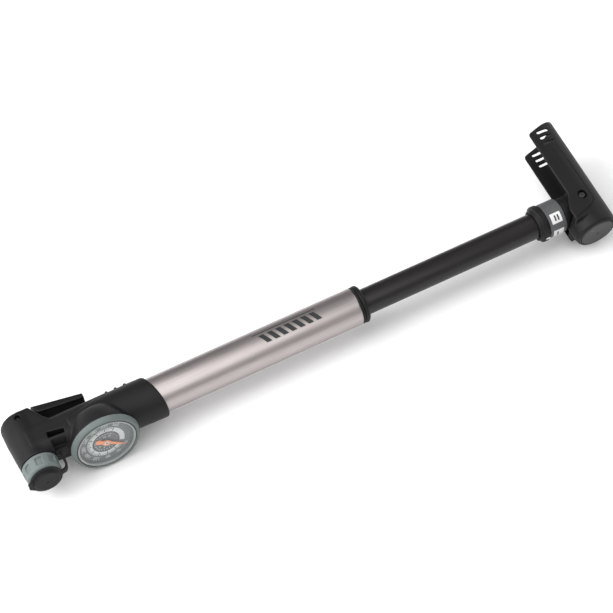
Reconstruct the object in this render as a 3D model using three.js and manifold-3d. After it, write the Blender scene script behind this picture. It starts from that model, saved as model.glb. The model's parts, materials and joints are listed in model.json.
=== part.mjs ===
// Hand pump with a fold-out T-handle, a lever-lock valve head and a pressure gauge.
// Millimetres. X runs along the pump axis from the head to the handle, the valve mouth and the gauge
// face -Y, the lock lever lies on +Y, and the pump lies on its side with +Z up.
import * as THREE from 'three';
import { mergeVertices } from 'three/addons/utils/BufferGeometryUtils.js';
import Module from 'manifold-3d';

const wasm = await Module();
wasm.setup();

// ---- driving dimensions ---------------------------------------------------------------------------
const GAP = 0.3;                       // clearance left between touching pieces
const FINE = 36;                       // sides of the large turned pieces
const COARSE = 20;                     // sides of the small turned pieces

const BARREL = { start: -112, end: 31.5, r: 11, bore: 9.8 };
const ROD = { start: 14.3, end: 163, r: 7.7, bore: 6.2 };
const PISTON = { start: 4, end: 14, r: 9.5 };
const END_CAP = { spigot: 22, flange: 33.3, end: 36.3, r: 11.1, bore: 8 };

const NOZZLE_X = -167.1;               // axis of the valve mouth, along Y
const TOWER = { r: 11.3, footR: 10.4, top: 22, bottom: -10.4, round: 3 };
// sides of the lever's fork
const CHEEK = { halfWidth: 10.6, topEnd: [-159.1, 22.5], footEnd: [-154, 12.3] };
const WEB = { halfWidth: 11, top: 11.5, bottom: -9.5, round: 7, end: -112 };
const SLEEVE = { r: 12.75, start: -128, slantMiddle: -94, slantPerMm: -7 / 25.5 };
const RIDGE = { top: 12.9, halfWidth: 5, ribs: [-117, -111.5, -106], ribR: 1, ribY: 13.1 };
const LEVER_PIN = { x: -167.2, y: 17.1, r: 1.4, halfLength: 9.6 };
const LEVER = {
  rootTop: [-158.3, 22.7], rootFoot: [-155.9, 17.4], tipTop: [-129, 19.6], tipFoot: [-129, 16.2],
  rootHalf: 8.2, tipHalf: 5.2,
};
const FORK_SLOT = { halfWidth: 4.9, floor: 12, back: -173 };
const CAM = { r: 3.4, throw: 1.5, halfWidth: 4.3 };
const CHUCK = { bore: 7.2, neckR: 8.4, neckEnd: -17 };
const PLUNGER = { face: -5.4, flange: -2.5, flangeR: 6.6, stemR: 3.2, top: 13, bore: 1.4 };
const NUT = { start: -10.9, end: -20.1, rootR: 10.5, frontR: 9.5, mouthR: 4.3, bore: 8.8, lip: -17.5 };
const GRIP = { count: 8, floorR: 9.6, halfWidth: 2.2, top: -13, bottom: -17.3 };
const CAP = { plug: -17.9, back: -20.5, flange: -21.6, front: -23.2, flangeR: 9.3, discR: 7.4, tabX: -177.6 };

const GAUGE_X = -129.4;                // axis of the gauge, along Y
const CUP = { rim: -13, r: 19.6, chamberR: 13.5, roof: -3.5, rebateR: 15.5, rebate: -11.9 };
const BEZEL = { back: -13.3, front: -16.5, r: 20, bore: 15.7 };
const LENS = { back: -16.05, front: -16.4, r: 15.4 };
const DIAL = { back: -13.3, front: -14.6, r: 15.2 };
const NEEDLE = { back: -15.3, front: -15.7, tip: 12, tail: 7, angle: Math.atan2(7, 9.7) };
const SHAFT = { front: -15.85, back: -7.5, r: 0.7 };
const PINION_R = 1.2;
const SECTOR = { r: 8, distance: 9.5, back: -8.7, front: -9.5 };
const BOURDON = { ringR: 10.5, tubeR: 1.2, y: -6 };

const HANDLE_TWIST = THREE.MathUtils.degToRad(12.8);   // swivel of rod and handle against the head
const PIVOT_X = 179.3;                 // fold axis of the handle
const SHELL = { r: 13.1, bore: 11.9, hubBore: 12, openEdge: -7.3, armEdge: 50, armSpine: 54.7, butt: -20.6,
  floor: -9.6 };
const BUTT = { shoulder: -13.5, endR: 12, recessR: 10.8, recess: -18.8, face: -20.9 };
const KNUCKLE = { r: 10.7, ballR: 10.9, halfWidth: 11, neckR: 9.2, neck: 165.4 };
const HANDLE_PIN = { r: 2, holeR: 2.5, halfLength: 12.2 };
const SLOTS = { y: [48, 43.9, 39.8], x: 1.2, halfLength: 3.75, halfWidth: 0.9 };
const COLLAR = { start: 154.3, end: 165, r: 10.4, bore: 7.95 };
const KEY = { start: 157.4, end: 159.8, halfWidth: 1 };
const STEM = { r: 2.3, start: 26, end: 160 };

// ---- materials ------------------------------------------------------------------------------------
const finish = (color, roughness, metalness = 0) =>
  new THREE.MeshStandardMaterial({ color, roughness, metalness });
const blackPlastic = () => finish(0x323234, 0.55);
const rubber = () => finish(0x1d1d1e, 0.8);
const greyPlastic = () => finish(0x8c9694, 0.5);
const brushedMetal = () => finish(0xc4bbb8, 0.35, 1);
const brass = () => finish(0xb08d4f, 0.35, 1);
const steel = () => finish(0x9a9c9e, 0.3, 1);

// ---- solids ---------------------------------------------------------------------------------------
// A closed mesh with merged corners, no empty triangles and its faces pointing out.
function closedGeometry(source) {
  const bare = new THREE.BufferGeometry();
  bare.setAttribute('position', source.getAttribute('position').clone());
  if (source.index) bare.setIndex(source.index.clone());
  const merged = mergeVertices(bare, 1e-4);
  const corner = [new THREE.Vector3(), new THREE.Vector3(), new THREE.Vector3()];
  const position = merged.getAttribute('position');
  const faces = [];
  let volume = 0;
  for (let i = 0; i < merged.index.count; i += 3) {
    const face = [0, 1, 2].map((k) => merged.index.getX(i + k));
    if (new Set(face).size < 3) continue;
    faces.push(face);
    face.forEach((vertex, k) => corner[k].fromBufferAttribute(position, vertex));
    volume += corner[0].dot(corner[1].clone().cross(corner[2]));
  }
  if (volume < 0) faces.forEach((face) => face.reverse());
  merged.setIndex(faces.flat());
  return merged;
}

function solidOf(geometry) {
  const closed = closedGeometry(geometry);
  const vertProperties = new Float32Array(closed.getAttribute('position').array);
  const triVerts = new Uint32Array(closed.index.array);
  return new wasm.Manifold(new wasm.Mesh({ numProp: 3, vertProperties, triVerts }));
}

function geometryOf(solid) {
  const mesh = solid.getMesh();
  const geometry = new THREE.BufferGeometry();
  geometry.setAttribute('position', new THREE.BufferAttribute(Float32Array.from(mesh.vertProperties), 3));
  geometry.setIndex(Array.from(mesh.triVerts));
  return closedGeometry(geometry);
}

// Maps the drawing plane (u, v) and its depth w onto the part's axes, for a depth along each axis.
const PLANES = {
  x: new THREE.Matrix4().set(0, 0, 1, 0, 1, 0, 0, 0, 0, 1, 0, 0, 0, 0, 0, 1),
  y: new THREE.Matrix4().set(1, 0, 0, 0, 0, 0, 1, 0, 0, 1, 0, 0, 0, 0, 0, 1),
  z: new THREE.Matrix4(),
};

// A turned piece: profile is a list of [along, radius] round the line through centre.
function turned(axis, profile, sides = FINE, centre = [0, 0, 0]) {
  const loop = profile[0][1] === 0 ? profile : [...profile, profile[0]];
  const geometry = new THREE.LatheGeometry(loop.map(([along, r]) => new THREE.Vector2(r, along)), sides);
  if (axis === 'x') geometry.rotateZ(-Math.PI / 2);
  if (axis === 'z') geometry.rotateX(Math.PI / 2);
  geometry.translate(...centre);
  return solidOf(geometry);
}

const rod = (axis, low, high, r, sides = COARSE, centre = [0, 0, 0]) =>
  turned(axis, [[low, 0], [low, r], [high, r], [high, 0]], sides, centre);
const tube = (axis, low, high, r, bore, sides = FINE, centre = [0, 0, 0]) =>
  turned(axis, [[low, bore], [low, r], [high, r], [high, bore]], sides, centre);
const aboutNozzle = [NOZZLE_X, 0, 0];
const aboutGauge = [GAUGE_X, 0, 0];

// A flat outline whose corners are rounded by the given radius.
function outline(points, radius = 0) {
  const corners = points.map(([u, v]) => new THREE.Vector2(u, v));
  if (radius === 0) return new THREE.Shape(corners);
  const shape = new THREE.Shape();
  corners.forEach((corner, i) => {
    const before = corners[(i + corners.length - 1) % corners.length];
    const after = corners[(i + 1) % corners.length];
    const toward = (other) => corner.clone().lerp(other, Math.min(0.45, radius / corner.distanceTo(other)));
    const start = toward(before);
    const end = toward(after);
    if (i === 0) shape.moveTo(start.x, start.y);
    else shape.lineTo(start.x, start.y);
    shape.quadraticCurveTo(corner.x, corner.y, end.x, end.y);
  });
  shape.closePath();
  return shape;
}

// A plate with that outline between two heights along one axis, its edges bevelled if asked.
function plate(axis, shape, low, high, bevel = 0) {
  const geometry = new THREE.ExtrudeGeometry(shape, {
    depth: high - low - 2 * bevel, curveSegments: 4, steps: 1, bevelEnabled: bevel > 0,
    bevelThickness: bevel, bevelSize: bevel, bevelOffset: -bevel, bevelSegments: 3,
  });
  geometry.translate(0, 0, low + bevel);
  geometry.applyMatrix4(PLANES[axis]);
  return solidOf(geometry);
}

const ball = (r) => solidOf(new THREE.SphereGeometry(r, 28, 16));
const rectangle = (u0, v0, u1, v1) => [[u0, v0], [u1, v0], [u1, v1], [u0, v1]];
const block = (low, high) =>
  plate('z', outline(rectangle(low[0], low[1], high[0], high[1])), low[2], high[2]);
const join = (...solids) => solids.reduce((whole, solid) => whole.add(solid));
const cut = (whole, ...tools) => tools.reduce((rest, tool) => rest.subtract(tool), whole);

// A round tube of small section swept along a curve.
function swept(curve, shape, steps) {
  const options = { steps, extrudePath: curve, curveSegments: 3, bevelEnabled: false };
  return solidOf(new THREE.ExtrudeGeometry(shape, options));
}

const pump = new THREE.Group();
const rodGroup = new THREE.Group();
rodGroup.rotation.x = HANDLE_TWIST;
const handle = new THREE.Group();
handle.position.x = PIVOT_X;
rodGroup.add(handle);
pump.add(rodGroup);

function piece(group, name, solid, material) {
  const mesh = new THREE.Mesh(geometryOf(solid), material);
  mesh.name = name;
  group.add(mesh);
}

// ---- head casting: tower, web, sleeve and gauge cup -------------------------------------------------
function tower() {
  const corner = [0, 22.5, 45, 67.5, 90].map((degrees) => {
    const angle = THREE.MathUtils.degToRad(degrees);
    return [TOWER.top - TOWER.round + TOWER.round * Math.sin(angle),
      TOWER.r - TOWER.round + TOWER.round * Math.cos(angle)];
  });
  const profile = [[TOWER.bottom, 0], [TOWER.bottom, TOWER.footR - 0.5], [TOWER.bottom + 0.5, TOWER.footR],
    [LEVER_PIN.y - 8, TOWER.r], ...corner, [TOWER.top, 0]];
  return turned('y', profile, FINE, aboutNozzle);
}

function web() {
  const section = outline(rectangle(WEB.bottom, -WEB.halfWidth, WEB.top, WEB.halfWidth), WEB.round);
  return plate('x', section, NOZZLE_X, WEB.end);
}

// The two sides of the fork that holds the lever, ending in a slant along the lever's root.
function cheeks() {
  const side = outline([[NOZZLE_X, 5], [NOZZLE_X, TOWER.top - 0.2], CHEEK.topEnd, CHEEK.footEnd, [-150, 5]]);
  return plate('z', side, -CHEEK.halfWidth, CHEEK.halfWidth, 1.2);
}

function leverRoom() {
  const behindSlant = outline([CHEEK.topEnd, CHEEK.footEnd, [-120, CHEEK.footEnd[1]], [-120, 40],
    [-160, 40]]);
  const fork = block([FORK_SLOT.back, FORK_SLOT.floor, -FORK_SLOT.halfWidth],
    [-150, 30, FORK_SLOT.halfWidth]);
  return join(plate('z', behindSlant, -20, 20), fork);
}

function sleeve() {
  const slant = (y) => SLEEVE.slantMiddle + y * SLEEVE.slantPerMm;
  const beyond = outline([[slant(20), 20], [slant(-20), -20], [-70, -20], [-70, 20]]);
  const ridge = outline(rectangle(-125, -RIDGE.halfWidth, -99.5, RIDGE.halfWidth), 1.5);
  const ribs = RIDGE.ribs.map((x) => rod('z', -4.6, 4.6, RIDGE.ribR, 10, [x, RIDGE.ribY, 0]));
  const body = join(rod('x', SLEEVE.start, -85, SLEEVE.r, FINE), plate('y', ridge, 8, RIDGE.top), ...ribs);
  return cut(body, plate('z', beyond, -20, 20));
}

function gaugeCup() {
  const profile = [[1.6, 0], [1.6, 11.4], [1.2, 12.8], [0, 14.5], [-3, 16.3], [-8, 18.1], [CUP.rim, CUP.r],
    [CUP.rim, 0]];
  return turned('y', profile, FINE, aboutGauge);
}

function vents() {
  const slots = [[[-157.6, -1.2], [-148.2, -1.8], [-148.2, -4.2], [-156.6, -5]],
    [[-156.9, -6.7], [-148.8, -6.7], [-148.8, -10], [-156, -10.2]]];
  return slots.flatMap((slot) => [-1, 1].map((side) => {
    const depths = [side * 8.6, side * 14].sort((a, b) => a - b);
    return plate('z', outline(slot, 0.5), ...depths);
  }));
}

function headBody() {
  const neck = rod('y', CHUCK.neckEnd, TOWER.bottom + 1, CHUCK.neckR, FINE, aboutNozzle);
  const casting = join(cut(join(tower(), cheeks()), leverRoom()), web(), sleeve(), gaugeCup(), neck);
  const chuckBore = rod('y', -30, 2, CHUCK.bore, FINE, aboutNozzle);
  const plungerHole = rod('y', 1, 30, 3.6, COARSE, aboutNozzle);
  const pinHole = rod('z', -20, 20, LEVER_PIN.r + 0.2, 20, [LEVER_PIN.x, LEVER_PIN.y, 0]);
  const airWay = rod('x', -163, WEB.end, 1.6, 16);
  const valvePocket = rod('x', -115.5, WEB.end, 5.2, COARSE);
  const barrelBore = rod('x', BARREL.start - GAP, -70, BARREL.r + 0.25, FINE);
  const chamber = rod('y', -30, CUP.roof, CUP.chamberR, FINE, aboutGauge);
  const rebate = rod('y', -30, CUP.rebate, CUP.rebateR, FINE, aboutGauge);
  const port = rod('y', CUP.roof - 1, 0, 1.5, 16, [GAUGE_X - BOURDON.ringR, 0, 0]);
  return cut(casting, chuckBore, plungerHole, pinHole, airWay, valvePocket, barrelBore,
    chamber, rebate, port, ...vents());
}

piece(pump, 'head_body', headBody(), blackPlastic());

// ---- valve chuck ------------------------------------------------------------------------------------
piece(pump, 'chuck_grommet', tube('y', -16.8, -8.5, 6.9, 2.6, COARSE, aboutNozzle), rubber());
piece(pump, 'chuck_washer', tube('y', -8.2, -7.2, 6.9, 3, COARSE, aboutNozzle), brass());

function chuckPlunger() {
  const profile = [[0, 0], [0, PLUNGER.bore], [PLUNGER.face, PLUNGER.bore], [PLUNGER.face, PLUNGER.flangeR],
    [PLUNGER.flange, PLUNGER.flangeR], [PLUNGER.flange + 1, PLUNGER.stemR], [PLUNGER.top, PLUNGER.stemR],
    [PLUNGER.top, 0]];
  return turned('y', profile, COARSE, aboutNozzle);
}
piece(pump, 'chuck_plunger', chuckPlunger(), greyPlastic());

function valveNut() {
  const profile = [[NUT.start, NUT.bore], [NUT.start, NUT.rootR], [-18.7, 9.95], [NUT.end, NUT.frontR],
    [NUT.end, NUT.mouthR], [NUT.lip, NUT.mouthR], [NUT.lip, NUT.bore]];
  const grips = [];
  for (let i = 0; i < GRIP.count; i += 1) {
    const pocket = outline(rectangle(GRIP.floorR, -GRIP.halfWidth, NUT.rootR + 2, GRIP.halfWidth));
    const grip = plate('y', pocket, GRIP.bottom, GRIP.top);
    grips.push(grip.rotate([0, i * 360 / GRIP.count, 0]).translate(aboutNozzle));
  }
  return cut(turned('y', profile, FINE, aboutNozzle), ...grips);
}
piece(pump, 'valve_nut', valveNut(), greyPlastic());

function dustCap() {
  const profile = [[CAP.plug, 0], [CAP.plug, 3.6], [CAP.back, 3.9], [CAP.back, CAP.flangeR],
    [CAP.flange, CAP.flangeR], [CAP.flange - 0.2, CAP.discR + 0.4], [CAP.front + 0.5, CAP.discR],
    [CAP.front, CAP.discR - 0.8], [CAP.front, 0]];
  const tab = outline([[NOZZLE_X - 8, -4.5], [CAP.tabX, -2.2], [CAP.tabX, 2.2], [NOZZLE_X - 8, 4.5]], 1);
  return join(turned('y', profile, FINE, aboutNozzle), plate('y', tab, -22.3, -20.8));
}
piece(pump, 'dust_cap', dustCap(), rubber());

function capStrap() {
  const route = [[-154.4, WEB.bottom - GAP], [-153.9, -13.5], [-154.1, -17.6], [-155.3, -20.2],
    [-157.4, -21]];
  const curve = new THREE.CatmullRomCurve3(route.map(([x, y]) => new THREE.Vector3(x, y, 0)));
  return swept(curve, outline(rectangle(-1.9, -0.7, 1.9, 0.7), 0.4), 12);
}
piece(pump, 'cap_strap', capStrap(), rubber());

// ---- lock lever -------------------------------------------------------------------------------------
function lockLever() {
  const side = outline([LEVER.rootTop, LEVER.rootFoot, LEVER.tipFoot, LEVER.tipTop]);
  const plan = outline([[-163, -LEVER.rootHalf - 0.5], [LEVER.tipTop[0] + 2, -LEVER.tipHalf],
    [LEVER.tipTop[0] + 2, LEVER.tipHalf], [-163, LEVER.rootHalf + 0.5]]);
  const paddle = plate('z', side, -LEVER.rootHalf, LEVER.rootHalf, 0.8).intersect(plate('y', plan, 0, 40));
  const stem = outline([[LEVER_PIN.x, LEVER_PIN.y - 1], [-156.5, 17.9], [-156.5, 21.4],
    [LEVER_PIN.x, LEVER_PIN.y + CAM.r]]);
  const aboutPin = [LEVER_PIN.x, LEVER_PIN.y, 0];
  const eye = rod('z', -CAM.halfWidth, CAM.halfWidth, CAM.r, COARSE, aboutPin);
  const lobe = eye.translate([-CAM.throw, 0, 0]);
  const body = join(paddle, plate('z', stem, -CAM.halfWidth, CAM.halfWidth), eye, lobe);
  return cut(body, rod('z', -20, 20, LEVER_PIN.r + 0.1, 20, aboutPin));
}
piece(pump, 'lock_lever', lockLever(), blackPlastic());
piece(pump, 'lever_pin', rod('z', -LEVER_PIN.halfLength, LEVER_PIN.halfLength, LEVER_PIN.r, 20,
  [LEVER_PIN.x, LEVER_PIN.y, 0]), steel());

// ---- pressure gauge ---------------------------------------------------------------------------------
const bezelProfile = [[BEZEL.back, BEZEL.bore], [BEZEL.back, BEZEL.r], [BEZEL.front + 1.1, BEZEL.r - 0.1],
  [BEZEL.front, BEZEL.r - 0.9], [BEZEL.front, BEZEL.bore + 0.7], [BEZEL.front + 0.6, BEZEL.bore]];
piece(pump, 'gauge_bezel', turned('y', bezelProfile, 40, aboutGauge), greyPlastic());
piece(pump, 'gauge_lens', rod('y', LENS.front, LENS.back, LENS.r, FINE, aboutGauge), finish(0xdfe4e4, 0.05));
const dial = tube('y', DIAL.front, DIAL.back, DIAL.r, 1.2, FINE, aboutGauge);
piece(pump, 'gauge_dial', dial, finish(0x6c7070, 0.6));

function gaugeNeedle() {
  const shape = outline([[-NEEDLE.tail, -1.1], [-2, -0.9], [0, -1.5], [2, -0.8], [NEEDLE.tip, -0.2],
    [NEEDLE.tip, 0.2], [2, 0.8], [0, 1.5], [-2, 0.9], [-NEEDLE.tail, 1.1]], 0.1);
  const blade = cut(plate('y', shape, NEEDLE.front, NEEDLE.back), rod('y', -20, 0, 0.9));
  return blade.rotate([0, THREE.MathUtils.radToDeg(NEEDLE.angle), 0]).translate(aboutGauge);
}
piece(pump, 'gauge_needle', gaugeNeedle(), finish(0xeb8c5a, 0.5));

const shaftProfile = [[SHAFT.front, 0], [SHAFT.front, SHAFT.r], [-9.8, SHAFT.r], [-9.8, PINION_R],
  [-8.4, PINION_R], [-8.4, SHAFT.r], [SHAFT.back, SHAFT.r], [SHAFT.back, 0]];
piece(pump, 'needle_shaft', turned('y', shaftProfile, 20, aboutGauge), brass());

function sectorGear() {
  const start = -44 * Math.PI / 180;
  const sweep = 48 * Math.PI / 180;
  const fan = new THREE.Shape();
  fan.moveTo(0, 0);
  fan.lineTo(SECTOR.r * Math.cos(start), SECTOR.r * Math.sin(start));
  fan.absarc(0, 0, SECTOR.r, start, start + sweep);
  fan.closePath();
  const body = join(plate('y', fan, SECTOR.front, SECTOR.back), rod('y', SECTOR.front, SECTOR.back, 2, 20));
  const turnedBody = cut(body, rod('y', -20, 0, 0.9, 16)).rotate([0, 180, 0]);
  return turnedBody.translate([GAUGE_X + SECTOR.distance, 0, 0]);
}
piece(pump, 'sector_gear', sectorGear(), brass());

function movementPlate() {
  const post = rod('y', -10.6, -7.6, 0.7, 16, [GAUGE_X + SECTOR.distance, 0, 0]);
  return join(tube('y', -11.2, -10.3, CUP.chamberR - GAP, 1, FINE, aboutGauge), post);
}
piece(pump, 'movement_plate', movementPlate(), brass());

function bourdonTube() {
  const arc = new THREE.EllipseCurve(0, 0, BOURDON.ringR, BOURDON.ringR, Math.PI + 0.32, 2 * Math.PI + 1.7);
  const points = arc.getPoints(18).map((p) => new THREE.Vector3(GAUGE_X + p.x, BOURDON.y, p.y));
  const section = new THREE.Shape();
  section.absarc(0, 0, BOURDON.tubeR, 0, 2 * Math.PI);
  return swept(new THREE.CatmullRomCurve3(points), section, 18);
}
piece(pump, 'bourdon_tube', bourdonTube(), brass());
const socket = rod('y', -8, CUP.roof - GAP, 2.3, COARSE, [GAUGE_X - BOURDON.ringR, 0, 0]);
piece(pump, 'gauge_socket', socket, brass());

// ---- barrel -----------------------------------------------------------------------------------------
piece(pump, 'barrel_tube', tube('x', BARREL.start, BARREL.end, BARREL.r, BARREL.bore), brushedMetal());
piece(pump, 'barrel_base_plug', tube('x', -111.7, -107, BARREL.bore - GAP, 1.6), greyPlastic());
piece(pump, 'check_valve_disc', rod('x', -113.6, -112.6, 4.4), rubber());
piece(pump, 'end_cap_oring', tube('x', BARREL.end + GAP, 33, 11.05, 9.8), rubber());
const endCapProfile = [[END_CAP.spigot, END_CAP.bore], [END_CAP.spigot, 9.5], [END_CAP.flange, 9.5],
  [END_CAP.flange, END_CAP.r], [35.5, END_CAP.r], [END_CAP.end, END_CAP.r - 0.9],
  [END_CAP.end, END_CAP.bore]];
piece(pump, 'barrel_end_cap', turned('x', endCapProfile), blackPlastic());
piece(pump, 'rod_guide_bush', tube('x', 16, END_CAP.spigot - GAP, 9.5, END_CAP.bore), brass());

// ---- piston and rod ---------------------------------------------------------------------------------
const pistonProfile = [[PISTON.start, 0], [PISTON.start, PISTON.r], [7.4, PISTON.r], [7.4, 8.2], [10.2, 8.2],
  [10.2, PISTON.r], [PISTON.end, PISTON.r], [PISTON.end, 5.9], [24, 5.9], [24, 0]];
piece(rodGroup, 'piston', turned('x', pistonProfile), greyPlastic());
piece(rodGroup, 'piston_oring', tube('x', 7.7, 9.9, 9.6, 8.5), rubber());

const keyWindow = block([156.9, -6.6, 0], [160.3, 6.6, 12]);
const rodTube = cut(tube('x', ROD.start, ROD.end, ROD.r, ROD.bore), keyWindow);
piece(rodGroup, 'rod_tube', rodTube, finish(0x3c3a3a, 0.4, 0.6));

// ---- volume and pressure selector -------------------------------------------------------------------
const baseProfile = [[148, COLLAR.bore], [148, 9.2], [149.6, 9.5], [150.2, 11], [153.2, 11], [154, 10.4],
  [154, COLLAR.bore]];
piece(rodGroup, 'selector_base', turned('x', baseProfile), blackPlastic());

const collarProfile = [[COLLAR.start, COLLAR.bore], [COLLAR.start, COLLAR.r - 0.3], [154.6, COLLAR.r],
  [164.4, COLLAR.r], [COLLAR.end, COLLAR.r - 0.6], [COLLAR.end, COLLAR.bore]];
piece(rodGroup, 'selector_collar', turned('x', collarProfile, 36), finish(0x5f6264, 0.5));
piece(rodGroup, 'selector_stem', rod('x', STEM.start, STEM.end, STEM.r), steel());
const key = block([KEY.start, -KEY.halfWidth, STEM.r + GAP], [KEY.end, KEY.halfWidth, COLLAR.bore - 0.25]);
piece(rodGroup, 'selector_key', key.rotate([-30, 0, 0]), steel());

// ---- handle, drawn round its fold axis: the arm stands along +Y, the channel opens to -X -------------
function handleKnuckle() {
  const neck = rod('x', KNUCKLE.neck - PIVOT_X, 0, KNUCKLE.neckR, FINE);
  const spigot = rod('x', 161.2 - PIVOT_X, 0, ROD.bore - 0.2, COARSE);
  const drum = rod('z', -KNUCKLE.halfWidth, KNUCKLE.halfWidth, KNUCKLE.r, FINE);
  const body = join(neck, spigot, drum.intersect(ball(KNUCKLE.ballR)));
  return cut(body, rod('z', -20, 20, HANDLE_PIN.r + 0.3, 20));
}
piece(handle, 'handle_knuckle', handleKnuckle(), blackPlastic());

// The cross-section of the channel: a half round on the spine side and two straight walls.
function channelSection(r, edge) {
  const section = new THREE.Shape();
  section.moveTo(edge, -r);
  section.lineTo(0, -r);
  section.absarc(0, 0, r, -Math.PI / 2, Math.PI / 2);
  section.lineTo(edge, r);
  section.closePath();
  return section;
}

function channel(r, edge, low, high) {
  const options = { depth: high - low, curveSegments: 12, bevelEnabled: false };
  const geometry = new THREE.ExtrudeGeometry(channelSection(r, edge), options);
  geometry.translate(0, 0, low);
  geometry.applyMatrix4(PLANES.y);
  return solidOf(geometry);
}

function handleShell() {
  const arm = channel(SHELL.r, SHELL.openEdge, -8, SHELL.armSpine);
  const side = outline([[SHELL.openEdge, -10], [14, -10], [14, SHELL.armSpine + 0.6],
    [SHELL.r - 1, SHELL.armSpine], [SHELL.openEdge, SHELL.armEdge]], 1.6);
  const cheek = outline([[-11.6, -13.5], [0, -13.5], [0, 6], [SHELL.openEdge, 4], [-9.7, -1], [-11.6, -6]]);
  const butt = turned('y', [[SHELL.butt, 0], [SHELL.butt, BUTT.endR], [BUTT.shoulder, SHELL.r], [-4, SHELL.r],
    [-4, 0]], FINE);
  const cheeks = plate('z', cheek, -SHELL.r, SHELL.r, 0.6);
  const outer = join(arm.intersect(plate('z', side, -20, 20)), cheeks, butt);
  const hollow = join(channel(SHELL.bore, -20, 0, 70), ball(SHELL.hubBore),
    block([-20, SHELL.floor, -SHELL.bore], [0, 0.5, SHELL.bore]));
  const slotAt = (y) => outline(rectangle(SLOTS.x - SLOTS.halfLength, y - SLOTS.halfWidth,
    SLOTS.x + SLOTS.halfLength, y + SLOTS.halfWidth), 0.7);
  const slots = SLOTS.y.map((y) => plate('z', slotAt(y), -20, 20));
  return cut(outer, hollow, ...slots, rod('z', -20, 20, HANDLE_PIN.holeR, 20),
    rod('y', -30, BUTT.recess, BUTT.recessR, FINE));
}
piece(handle, 'handle_shell', handleShell(), blackPlastic());

const endDisc = [[BUTT.recess - GAP, 0], [BUTT.recess - GAP, BUTT.recessR - GAP],
  [BUTT.face + 0.5, BUTT.recessR - GAP], [BUTT.face, BUTT.recessR - 0.8], [BUTT.face, 0]];
piece(handle, 'handle_end_cap', turned('y', endDisc), finish(0x5a5a58, 0.6));
const handlePin = rod('z', -HANDLE_PIN.halfLength, HANDLE_PIN.halfLength, HANDLE_PIN.r, 20);
piece(handle, 'handle_pin', handlePin, steel());

// ---- the origin is the bottom centre of the whole pump ------------------------------------------------
pump.updateMatrixWorld(true);
const bounds = new THREE.Box3().setFromObject(pump, true);
const middle = bounds.getCenter(new THREE.Vector3());
pump.position.set(-middle.x, -middle.y, -bounds.min.z);

export default pump;
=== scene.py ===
import json
import math

import bpy
import numpy as np
from mathutils import Matrix, Vector


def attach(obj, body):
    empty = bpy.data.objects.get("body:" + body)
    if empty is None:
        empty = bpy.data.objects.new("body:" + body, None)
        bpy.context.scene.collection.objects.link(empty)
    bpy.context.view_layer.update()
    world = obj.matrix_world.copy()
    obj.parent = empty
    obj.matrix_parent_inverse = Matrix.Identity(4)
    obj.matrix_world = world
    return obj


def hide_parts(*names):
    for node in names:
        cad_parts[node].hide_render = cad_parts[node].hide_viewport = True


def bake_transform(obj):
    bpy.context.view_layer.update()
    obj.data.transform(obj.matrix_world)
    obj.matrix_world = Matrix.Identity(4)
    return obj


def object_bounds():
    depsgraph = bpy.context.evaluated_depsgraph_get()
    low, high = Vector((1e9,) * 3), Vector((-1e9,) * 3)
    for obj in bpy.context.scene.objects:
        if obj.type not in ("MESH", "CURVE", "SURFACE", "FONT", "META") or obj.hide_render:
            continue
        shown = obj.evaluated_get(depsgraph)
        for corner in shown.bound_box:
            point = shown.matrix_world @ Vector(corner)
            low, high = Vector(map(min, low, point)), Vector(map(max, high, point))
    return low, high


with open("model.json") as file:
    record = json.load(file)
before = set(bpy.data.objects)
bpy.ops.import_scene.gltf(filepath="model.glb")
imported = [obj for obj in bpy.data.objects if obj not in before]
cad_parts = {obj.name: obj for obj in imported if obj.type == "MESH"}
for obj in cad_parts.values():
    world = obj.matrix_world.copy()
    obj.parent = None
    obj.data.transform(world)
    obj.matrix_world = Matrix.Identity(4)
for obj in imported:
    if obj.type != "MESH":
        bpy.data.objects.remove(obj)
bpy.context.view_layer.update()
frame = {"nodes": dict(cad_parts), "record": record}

MM = 0.001

# ---- places: millimetre frames of the pump, the swivelled rod and the handle -------------------------
JOINTS = {joint["name"]: joint for joint in frame["record"]["behaviour"]["joints"]}
NOZZLE_X = -167.1            # pump-frame x of the valve mouth's axis
GAUGE_X = -129.4             # pump-frame x of the gauge's axis


class Place:
    """A millimetre frame: points in it go to the row frame in metres."""

    def __init__(self, origin, x_axis, y_axis, z_axis):
        self.origin = np.array(origin, float)
        self.axes = np.array([x_axis, y_axis, z_axis], float)

    def world(self, points):
        return self.origin + MM * (np.asarray(points, float) @ self.axes)


nozzle = Vector(JOINTS["nut_turn"]["pos_m"])
pump_origin = nozzle - Vector((NOZZLE_X * MM, 0, 0))
fold_axis = Vector(JOINTS["handle_fold"]["axis"]).normalized()
along_pump = Vector((1, 0, 0))
arm_axis = fold_axis.cross(along_pump)
PUMP = Place(pump_origin, (1, 0, 0), (0, 1, 0), (0, 0, 1))
ROD = Place(pump_origin, along_pump, arm_axis, fold_axis)
HANDLE = Place(JOINTS["handle_fold"]["pos_m"], along_pump, arm_axis, fold_axis)

# ---- camera -------------------------------------------------------------------------------------------
CAMERA_AT = (-228.3, -643.8, 838.8)          # millimetres in the pump frame
CAMERA_FORWARD = Vector((0.2159, 0.6026, -0.7682)).normalized()
CAMERA_RIGHT = Vector((0.8915, -0.4426, -0.0966)).normalized()
LENS_MM = 112.6


def make_camera():
    data = bpy.data.cameras.new("camera")
    data.lens = LENS_MM
    data.sensor_width = 36
    data.clip_start = 0.01
    data.clip_end = 20
    camera = bpy.data.objects.new("camera", data)
    up = CAMERA_RIGHT.cross(CAMERA_FORWARD)
    turn = Matrix((CAMERA_RIGHT, up, -CAMERA_FORWARD)).transposed()
    camera.matrix_world = Matrix.Translation(PUMP.world([CAMERA_AT])[0].tolist()) @ turn.to_4x4()
    bpy.context.collection.objects.link(camera)
    bpy.context.scene.camera = camera


make_camera()

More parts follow.
